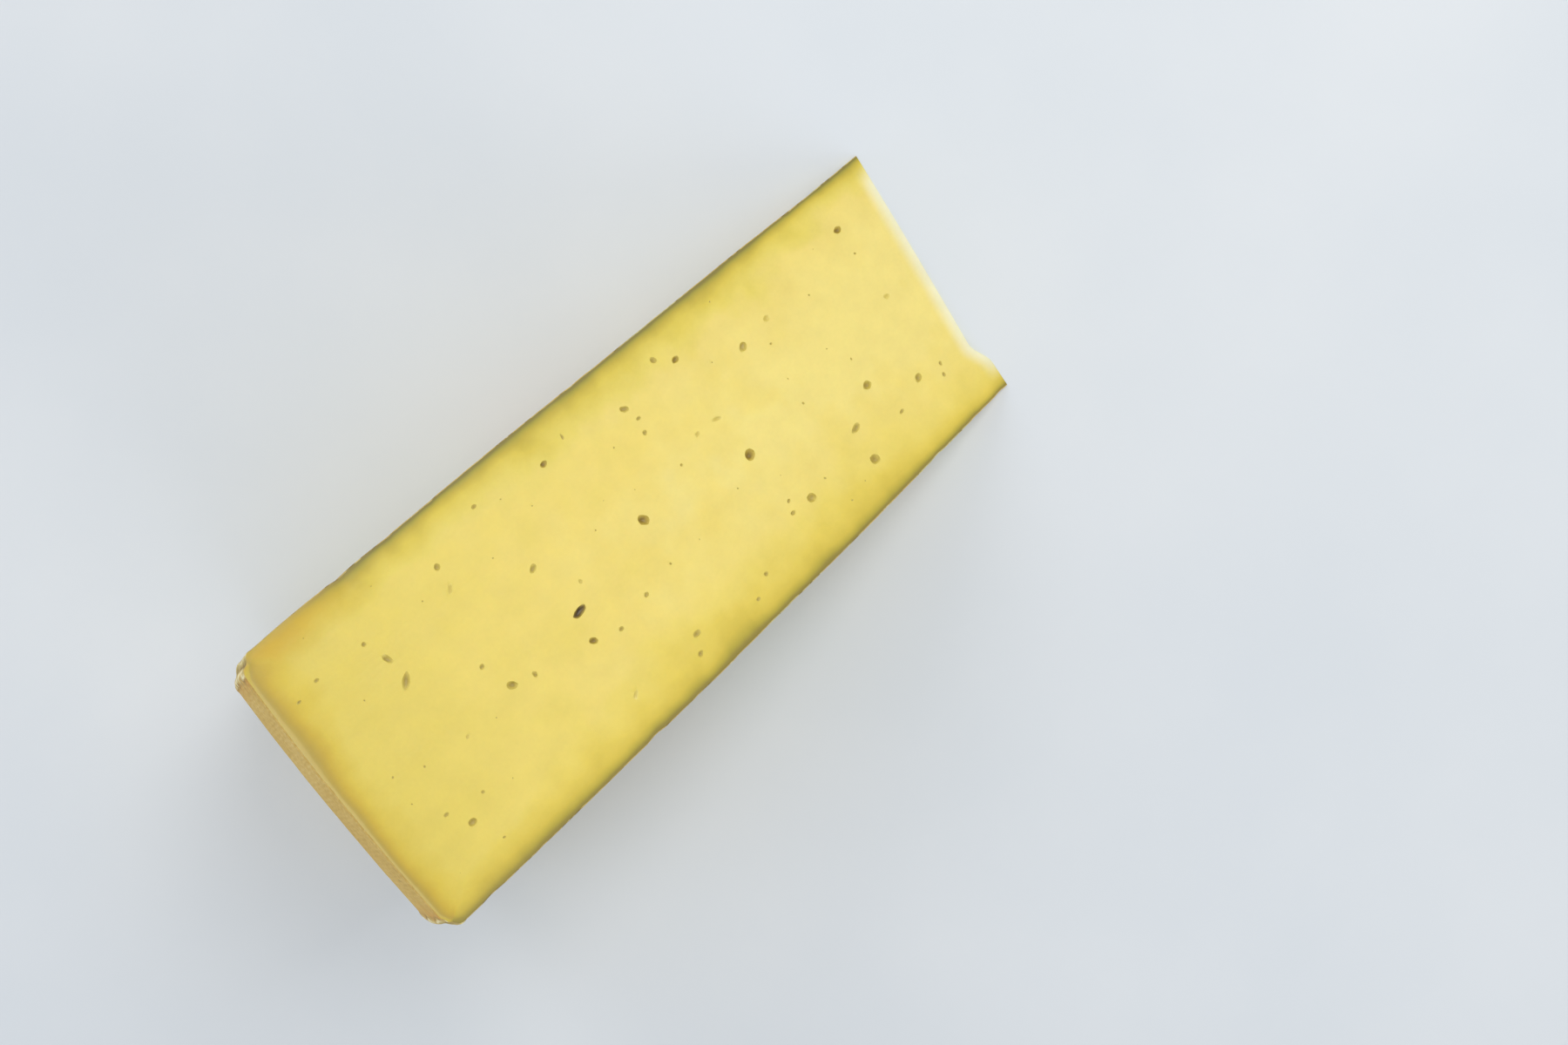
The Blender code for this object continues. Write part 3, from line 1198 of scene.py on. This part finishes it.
@dataclass
class CheeseWedge:
    """One twelfth of the wheel, lying on its lower cut face, in metres."""

    wheel: Wheel = field(default_factory=Wheel)
    eyes: EyeField = field(default_factory=EyeField)
    relief: RindRelief = field(default_factory=RindRelief)
    materials: dict[Skin, bpy.types.Material] = field(default_factory=dict)
    angle: float = math.radians(30.0)
    spin_steps: int = 108
    first_line: float = 0.0007
    merge_distance: float = 1e-6
    sharp_angle: float = math.radians(40.0)

    # Slow waves of the upper cut and of the rind
    cut_wave: float = 0.0003
    cut_wave_width: float = 0.045
    cut_wave_fade: float = 0.05
    rind_wave: float = 0.0006
    rind_wave_width: float = 0.055
    face_wave_power: int = 6
    face_wave_place: float = 5.0
    rim_wave_power: int = 12
    rim_wave_place: tuple[float, float, float] = (11.0, 0.0, 3.0)

    # Places on the upper cut whose points give its slope
    probe_along: tuple[float, float] = (0.1, 0.2)
    probe_across: tuple[float, float] = (0.01, 0.09)

    def build(self) -> bpy.types.Object:
        """Build the wedge, with its eyes cut in and its materials on.

        Returns:
            The finished piece.
        """
        bm = bmesh.new()
        self.make_shell(bm)
        self.wave_rind(bm)
        centre = self.foot_centre(bm)
        self.rough_rind(bm)
        self.lean_upper_cut(bm)
        self.wave_upper_cut(bm)
        self.mark_places(bm)
        bmesh.ops.translate(bm, verts=bm.verts[:], vec=-centre)
        wedge = self.object_from(bm, "mountain_cheese_wedge")
        self.cut_eyes(wedge, centre)
        wedge.data.shade_smooth()
        wedge.data.set_sharp_from_angle(angle=self.sharp_angle)
        return wedge

    def make_shell(self, bm: bmesh.types.BMesh) -> None:
        """Make the closed shell: the two cut faces, and the outline spun between them.

        Args:
            bm: Empty mesh that gets the shell.
        """
        wheel = self.wheel
        nominal_r = bm.verts.layers.float.new("r")
        nominal_v = bm.verts.layers.float.new("v")
        along = wheel.line_places(wheel.radius, narrow_start=False)
        across = wheel.line_places(wheel.height, narrow_start=True)
        columns, rows = len(along) - 1, len(across) - 1
        bmesh.ops.create_grid(bm, x_segments=columns, y_segments=rows, size=1.0)
        for vert in bm.verts:
            r = along[round((vert.co.x + 1.0) / 2.0 * columns)]
            v = across[round((vert.co.y + 1.0) / 2.0 * rows)]
            vert[nominal_r], vert[nominal_v] = r, v
            radius, height = wheel.point(r, v)
            vert.co = Vector((radius, height, 0.0))
        lower_cut = bm.faces[:]
        outline = [edge for edge in bm.edges if edge.is_boundary]
        loop = bmesh.ops.duplicate(bm, geom=outline)["geom"]
        upper_cut = bmesh.ops.duplicate(bm, geom=lower_cut)["geom"]
        bmesh.ops.rotate(
            bm,
            cent=(0.0, 0.0, 0.0),
            matrix=Matrix.Rotation(-self.angle, 3, "Y"),
            verts=[item for item in upper_cut if isinstance(item, bmesh.types.BMVert)],
        )
        bmesh.ops.spin(
            bm,
            geom=loop,
            cent=(0.0, 0.0, 0.0),
            axis=(0.0, -1.0, 0.0),
            angle=self.angle,
            steps=self.spin_steps,
            use_duplicate=False,
        )
        bmesh.ops.remove_doubles(bm, verts=bm.verts[:], dist=self.merge_distance)
        bmesh.ops.recalc_face_normals(bm, faces=bm.faces[:])
        self.gather_lines(bm)

    def gather_lines(self, bm: bmesh.types.BMesh) -> None:
        """Number the spun lines, and draw the first and last of them close to the cuts.

        Args:
            bm: The shell.
        """
        line = bm.verts.layers.int.new("line")
        near = self.first_line / self.wheel.radius
        for vert in bm.verts:
            radius = math.hypot(vert.co.x, vert.co.z)
            angle = math.atan2(vert.co.z, vert.co.x)
            vert[line] = round(angle / self.angle * self.spin_steps)
            if vert[line] == 1:
                angle = near
            elif vert[line] == self.spin_steps - 1:
                angle = self.angle - near
            vert.co.x, vert.co.z = radius * math.cos(angle), radius * math.sin(angle)

    def wave_rind(self, bm: bmesh.types.BMesh) -> None:
        """Give the flat faces and the rim slow waves that die out inside the cut faces.

        Args:
            bm: The shell.
        """
        half = self.wheel.height / 2
        for vert in bm.verts:
            radius = math.hypot(vert.co.x, vert.co.z)
            place = vert.co / self.rind_wave_width
            side = vert.co.y / half
            apart = self.face_wave_place * math.copysign(1.0, side)
            face_wave = noise.noise(place + Vector((0.0, apart, 0.0)))
            rim_wave = noise.noise(place + Vector(self.rim_wave_place))
            rim_share = (radius / self.wheel.radius) ** self.rim_wave_power
            radial = Vector((vert.co.x, 0.0, vert.co.z)) / max(radius, self.wheel.tip_blunt)
            vert.co.y += self.rind_wave * face_wave * abs(side) ** self.face_wave_power
            vert.co += radial * self.rind_wave * rim_wave * rim_share

    def foot_centre(self, bm: bmesh.types.BMesh) -> Vector:
        """Middle of the wedge's box at its foot, as it is once the upper cut leans.

        Args:
            bm: The shell, before its upper cut leans.

        Returns:
            The middle.
        """
        places = [
            vert.co + Vector((self.wheel.cut_shift(vert.co.y + self.wheel.height / 2), 0.0, 0.0))
            for vert in bm.verts
        ]
        lows = [min(place[k] for place in places) for k in range(3)]
        highs = [max(place[k] for place in places) for k in range(3)]
        return Vector(((lows[0] + highs[0]) / 2, (lows[1] + highs[1]) / 2, lows[2]))

    def rough_rind(self, bm: bmesh.types.BMesh) -> None:
        """Press the rind's lumps, pits, nicks and crumbs into the shell, within the cut planes.

        Args:
            bm: The shell.
        """
        wheel, relief = self.wheel, self.relief
        nominal_r = bm.verts.layers.float["r"]
        nominal_v = bm.verts.layers.float["v"]
        line = bm.verts.layers.int["line"]
        for vert in bm.verts:
            r, v = vert[nominal_r], vert[nominal_v]
            depth = wheel.depth(r, v)
            if depth >= relief.reach:
                continue
            fall = (1.0 - depth / relief.reach) ** 2
            height = relief.height(wheel, vert.co, r, v)
            if vert[line] in (0, self.spin_steps):
                height -= relief.cut_edge_drop
            out, side = wheel.outward(r, v)
            radius = math.hypot(vert.co.x, vert.co.z)
            radial = Vector((vert.co.x, 0.0, vert.co.z)) / radius
            vert.co += (radial * out + Vector((0.0, side, 0.0))) * height * fall

    def lean_upper_cut(self, bm: bmesh.types.BMesh) -> None:
        """Shift each layer of the wheel, so that the upper cut passes beside the centre.

        Args:
            bm: The shell.
        """
        for vert in bm.verts:
            vert.co.x += self.wheel.cut_shift(vert.co.y + self.wheel.height / 2)

    def upper_place(self, along: float, across: float) -> Vector:
        """Point on the upper cut face.

        Args:
            along: Distance from the tip along the face.
            across: Distance from the -Y rind.

        Returns:
            The point.
        """
        shift = self.wheel.cut_shift(across)
        slope = along - shift * math.cos(self.angle)
        x = shift + slope * math.cos(self.angle)
        return Vector((x, across - self.wheel.height / 2, slope * math.sin(self.angle)))

    def upper_turn(self) -> Matrix:
        """Turn that lays X along the upper cut face and Z along that face's normal.

        Returns:
            The turn.
        """
        near, far = self.probe_along
        low, high = self.probe_across
        start = self.upper_place(near, low)
        along = (self.upper_place(far, low) - start).normalized()
        across = (self.upper_place(near, high) - start).normalized()
        normal = along.cross(across).normalized()
        side = normal.cross(along)
        return Matrix((along, side, normal)).transposed().to_4x4()

    def wave_upper_cut(self, bm: bmesh.types.BMesh) -> None:
        """Give the upper cut face the slight unevenness that the wire leaves.

        Args:
            bm: The shell.
        """
        line = bm.verts.layers.int["line"]
        normal = self.upper_turn().to_3x3() @ Vector((0.0, 0.0, 1.0))
        if normal.z < 0.0:
            normal.negate()
        for vert in bm.verts:
            if vert[line] != self.spin_steps:
                continue
            wave = 0.5 + 0.5 * noise.noise(vert.co / self.cut_wave_width)
            fade = smoothstep(0.0, self.cut_wave_fade, vert.co.x)
            vert.co -= normal * self.cut_wave * wave * fade

    def mark_places(self, bm: bmesh.types.BMesh) -> None:
        """Write the maps that the materials read, and give each face its material.

        Args:
            bm: The shell.
        """
        wheel = self.wheel
        nominal_r = bm.verts.layers.float["r"]
        nominal_v = bm.verts.layers.float["v"]
        line = bm.verts.layers.int["line"]
        section = bm.loops.layers.uv.new("section")
        wrap = bm.loops.layers.uv.new("wrap")
        arc_step = self.angle * wheel.radius / self.spin_steps
        for face in bm.faces:
            lines = {vert[line] for vert in face.verts}
            at_tip = all(vert[nominal_r] < wheel.narrow_step for vert in face.verts)
            cut = len(lines) == 1
            face.material_index = Skin.PASTE if cut or at_tip else Skin.RIND
            for corner in face.loops:
                r, v = corner.vert[nominal_r], corner.vert[nominal_v]
                edge = min(v, wheel.height - v) - (wheel.radius - r)
                corner[section].uv = (v, wheel.radius - r)
                corner[wrap].uv = (edge, corner.vert[line] * arc_step)

    def add_eye(self, bm: bmesh.types.BMesh, eye: Eye, place: Vector, turn: Matrix) -> None:
        """Add one eye's hollow to the cutter, an uneven stretched ball.

        Args:
            bm: Mesh of the cutter.
            eye: The eye.
            place: Its place on the cut face.
            turn: Turn that lays its X along the face and its Z out of it.
        """
        field_of_eyes = self.eyes
        faint = eye.skin is Skin.FAINT_EYE
        rise = field_of_eyes.faint_rise if faint else field_of_eyes.rise
        length = eye.length * field_of_eyes.size_share * MILLIMETRE
        width = eye.width * field_of_eyes.size_share * MILLIMETRE
        size = Matrix.Diagonal((length, width, width * field_of_eyes.depth, 1.0))
        lift = turn @ Vector((0.0, 0.0, rise * width))
        matrix = Matrix.Translation(place + lift) @ turn @ size
        detail = 3 if eye.length > field_of_eyes.fine_from_mm else 2
        ball = bmesh.ops.create_icosphere(bm, subdivisions=detail, radius=0.5)["verts"]
        seed = Vector((eye.along, eye.across, 0.0))
        wide, close = field_of_eyes.swell_scales
        for vert in ball:
            swell = noise.noise(vert.co * wide + seed)
            swell += field_of_eyes.fine_swell * noise.noise(vert.co * close + seed)
            vert.co *= 1.0 + field_of_eyes.rough * swell
        # Each corner's depth down the hollow, 0 at the rim and 1 at the bottom, which the eye skins
        # turn into painted shade
        section = bm.loops.layers.uv["section"]
        deepest = 0.5 * field_of_eyes.depth - rise
        for face in {face for vert in ball for face in vert.link_faces}:
            face.material_index = eye.skin
            for corner in face.loops:
                depth = -(corner.vert.co.z * field_of_eyes.depth + rise)
                corner[section].uv = (max(0.0, depth / deepest), 0.0)
        bmesh.ops.transform(bm, matrix=matrix, verts=ball)

    def eye_cutter(self, centre: Vector) -> bpy.types.Object:
        """Build all the eyes as one cutter.

        Args:
            centre: Middle of the wedge's box at its foot.

        Returns:
            The cutter.
        """
        bm = bmesh.new()
        bm.loops.layers.uv.new("section")
        bm.loops.layers.uv.new("wrap")
        up = self.upper_turn()
        if (up.to_3x3() @ Vector((0.0, 0.0, 1.0))).z < 0.0:
            up = up @ Matrix.Rotation(math.pi, 4, "X")
        down = Matrix.Rotation(math.pi, 4, "X")
        field_of_eyes = self.eyes
        pinholes = field_of_eyes.drawn(
            field_of_eyes.pinholes,
            self.wheel,
            field_of_eyes.pinhole_sizes_mm,
            field_of_eyes.seed,
            field_of_eyes.upper,
        )
        for eye in (*field_of_eyes.upper, *pinholes):
            place = self.upper_place(eye.along * MILLIMETRE, eye.across * MILLIMETRE)
            turn = up @ Matrix.Rotation(math.radians(eye.turn), 4, "Z")
            self.add_eye(bm, eye, place, turn)
        lower = field_of_eyes.lower(self.wheel)
        below = field_of_eyes.drawn(
            field_of_eyes.lower_pinholes,
            self.wheel,
            field_of_eyes.lower_pinhole_sizes_mm,
            field_of_eyes.seed + 1,
            lower,
        )
        for eye in (*lower, *below):
            across = eye.across * MILLIMETRE - self.wheel.height / 2
            place = Vector((eye.along * MILLIMETRE, across, 0.0))
            turn = down @ Matrix.Rotation(math.radians(eye.turn), 4, "Z")
            self.add_eye(bm, eye, place, turn)
        bmesh.ops.translate(bm, verts=bm.verts[:], vec=-centre)
        return self.object_from(bm, "eye_cutter")

    def cut_eyes(self, wedge: bpy.types.Object, centre: Vector) -> None:
        """Cut the eyes into the wedge and keep the result as its mesh.

        Args:
            wedge: The wedge.
            centre: Middle of the wedge's box at its foot.
        """
        cutter = self.eye_cutter(centre)
        cut = wedge.modifiers.new("eyes", "BOOLEAN")
        cut.operation = "DIFFERENCE"
        cut.solver = "EXACT"
        cut.object = cutter
        graph = bpy.context.evaluated_depsgraph_get()
        whole = wedge.data
        wedge.data = bpy.data.meshes.new_from_object(wedge.evaluated_get(graph))
        wedge.modifiers.clear()
        bpy.data.meshes.remove(whole)
        hollow = cutter.data
        bpy.data.objects.remove(cutter, do_unlink=True)
        bpy.data.meshes.remove(hollow)

    def object_from(self, bm: bmesh.types.BMesh, name: str) -> bpy.types.Object:
        """Turn a mesh into an object that has the wedge's material slots.

        Args:
            bm: The mesh, which is freed.
            name: Name of the object.

        Returns:
            The object.
        """
        mesh = bpy.data.meshes.new(name)
        bm.to_mesh(mesh)
        bm.free()
        for skin in Skin:
            mesh.materials.append(self.finish(skin))
        item = bpy.data.objects.new(name, mesh)
        bpy.context.scene.collection.objects.link(item)
        return item

    def finish(self, skin: Skin) -> bpy.types.Material:
        """Material of one kind of surface, built when it is first asked for.

        Args:
            skin: Kind of surface.

        Returns:
            The material.
        """
        if skin not in self.materials:
            finishes = {
                Skin.PASTE: PasteFinish(
                    wheel_height=self.wheel.height, wheel_radius=self.wheel.radius
                ),
                Skin.RIND: RindFinish(),
                # Eye skins from rim to depth; their darker deep tones are partly painted shade in the
                # hollow
                Skin.FAINT_EYE: EyeFinish("faint_eye_skin", "efdc7a", "e4cf6a", "d9c35e"),
                Skin.EYE: EyeFinish("moist_eye_skin", "e8d571", "d0bc5a", "b09a4a"),
                Skin.BROWN_EYE: EyeFinish("aged_and_shaded_eye_skin", "dfca62", "bca344", "8f7730"),
                Skin.DARK_EYE: EyeFinish("dark_eye_skin", "c9b24e", "7a642a", "35260e"),
            }
            self.materials[skin] = finishes[skin].material()
        return self.materials[skin]


@dataclass(frozen=True)
class Lamp:
    """One soft area light, placed and aimed in metres."""

    name: str
    place: tuple[float, float, float]
    target: tuple[float, float, float]
    width: float
    watts: float
    colour: str

    def build(self) -> bpy.types.Object:
        """Build the light.

        Returns:
            The light's object.
        """
        light = bpy.data.lights.new(self.name, "AREA")
        light.shape = "DISK"
        light.size = self.width
        light.energy = self.watts
        light.color = linear(self.colour)[:3]
        item = bpy.data.objects.new(self.name, light)
        aim = Vector(self.target) - Vector(self.place)
        item.rotation_euler = aim.to_track_quat("-Z", "Y").to_euler()
        item.location = self.place
        bpy.context.scene.collection.objects.link(item)
        return item


@dataclass(frozen=True)
class Studio:
    """Plain pale floor, soft lights, and the camera at the photograph's angle."""

    floor_size: float = 6.0
    lamps: tuple[Lamp, ...] = (
        Lamp("key_softbox", (-0.95, -0.25, 1.15), (0.0, 0.0, 0.05), 0.9, 8.3, "fffaf2"),
        Lamp("overhead_softbox", (0.1, 0.1, 1.7), (0.0, 0.0, 0.0), 1.4, 3.4, "ffffff"),
        Lamp("heel_fill", (1.3, -0.6, 0.6), (0.0, 0.0, 0.05), 1.2, 3.7, "f4f7ff"),
        Lamp("front_fill", (-0.1, -1.7, 0.75), (0.0, 0.0, 0.05), 1.4, 6.9, "fffdf8"),
        Lamp("back_fill", (0.1, 1.7, 0.75), (0.0, 0.0, 0.05), 1.4, 6.1, "fffdf8"),
    )
    sky: str = "e8edf3"
    sky_strength: float = 0.50
    lens_mm: float = 40.0
    sensor_mm: float = 36.0
    clip_start: float = 0.01
    eye_place: tuple[float, float, float] = (-0.08911, -0.02318, 0.65072)
    right: tuple[float, float, float] = (-0.7608, 0.64899, -0.00144)
    up: tuple[float, float, float] = (-0.64439, -0.75566, -0.11722)
    back: tuple[float, float, float] = (-0.07716, -0.08825, 0.99311)

    def build_floor(self) -> bpy.types.Object:
        """Build the floor.

        Returns:
            The floor.
        """
        bm = bmesh.new()
        bmesh.ops.create_grid(bm, x_segments=8, y_segments=8, size=self.floor_size / 2)
        mesh = bpy.data.meshes.new("floor")
        bm.to_mesh(mesh)
        bm.free()
        mesh.materials.append(FloorFinish().material())
        floor = bpy.data.objects.new("floor", mesh)
        bpy.context.scene.collection.objects.link(floor)
        return floor

    def build_lights(self) -> None:
        """Build the lights and the pale surroundings."""
        for lamp in self.lamps:
            lamp.build()
        world = bpy.data.worlds.new("studio")
        world.use_nodes = True
        background = world.node_tree.nodes["Background"]
        background.inputs["Color"].default_value = linear(self.sky)
        background.inputs["Strength"].default_value = self.sky_strength
        scene = bpy.context.scene
        scene.world = world
        scene.view_settings.view_transform = "Standard"
        scene.view_settings.look = "None"

    def build_camera(self) -> bpy.types.Object:
        """Build the camera and make it the scene's own.

        Returns:
            The camera.
        """
        lens = bpy.data.cameras.new("camera")
        lens.lens = self.lens_mm
        lens.sensor_width = self.sensor_mm
        lens.clip_start = self.clip_start
        camera = bpy.data.objects.new("camera", lens)
        turn = Matrix((self.right, self.up, self.back)).transposed().to_4x4()
        camera.matrix_world = Matrix.Translation(self.eye_place) @ turn
        bpy.context.scene.collection.objects.link(camera)
        bpy.context.scene.camera = camera
        return camera


def main() -> None:
    """Build the dressed wedge and the studio, in order, and report each piece."""
    logging.basicConfig(level=logging.INFO, format="%(name)s: %(message)s")
    wedge = CheeseWedge().build()
    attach(wedge, "root")
    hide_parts(NODE)
    faces = wedge.data.polygons
    triangles = sum(len(face.vertices) - 2 for face in faces)
    LOG.info("%s: %d faces, %d triangles", wedge.name, len(faces), triangles)
    studio = Studio()
    floor = studio.build_floor()
    LOG.info("%s: %.1f m wide", floor.name, studio.floor_size)
    studio.build_lights()
    LOG.info("lights: %d", len(studio.lamps))
    camera = studio.build_camera()
    LOG.info("%s: %.0f mm lens", camera.name, studio.lens_mm)


if __name__ == "__main__":
    main()
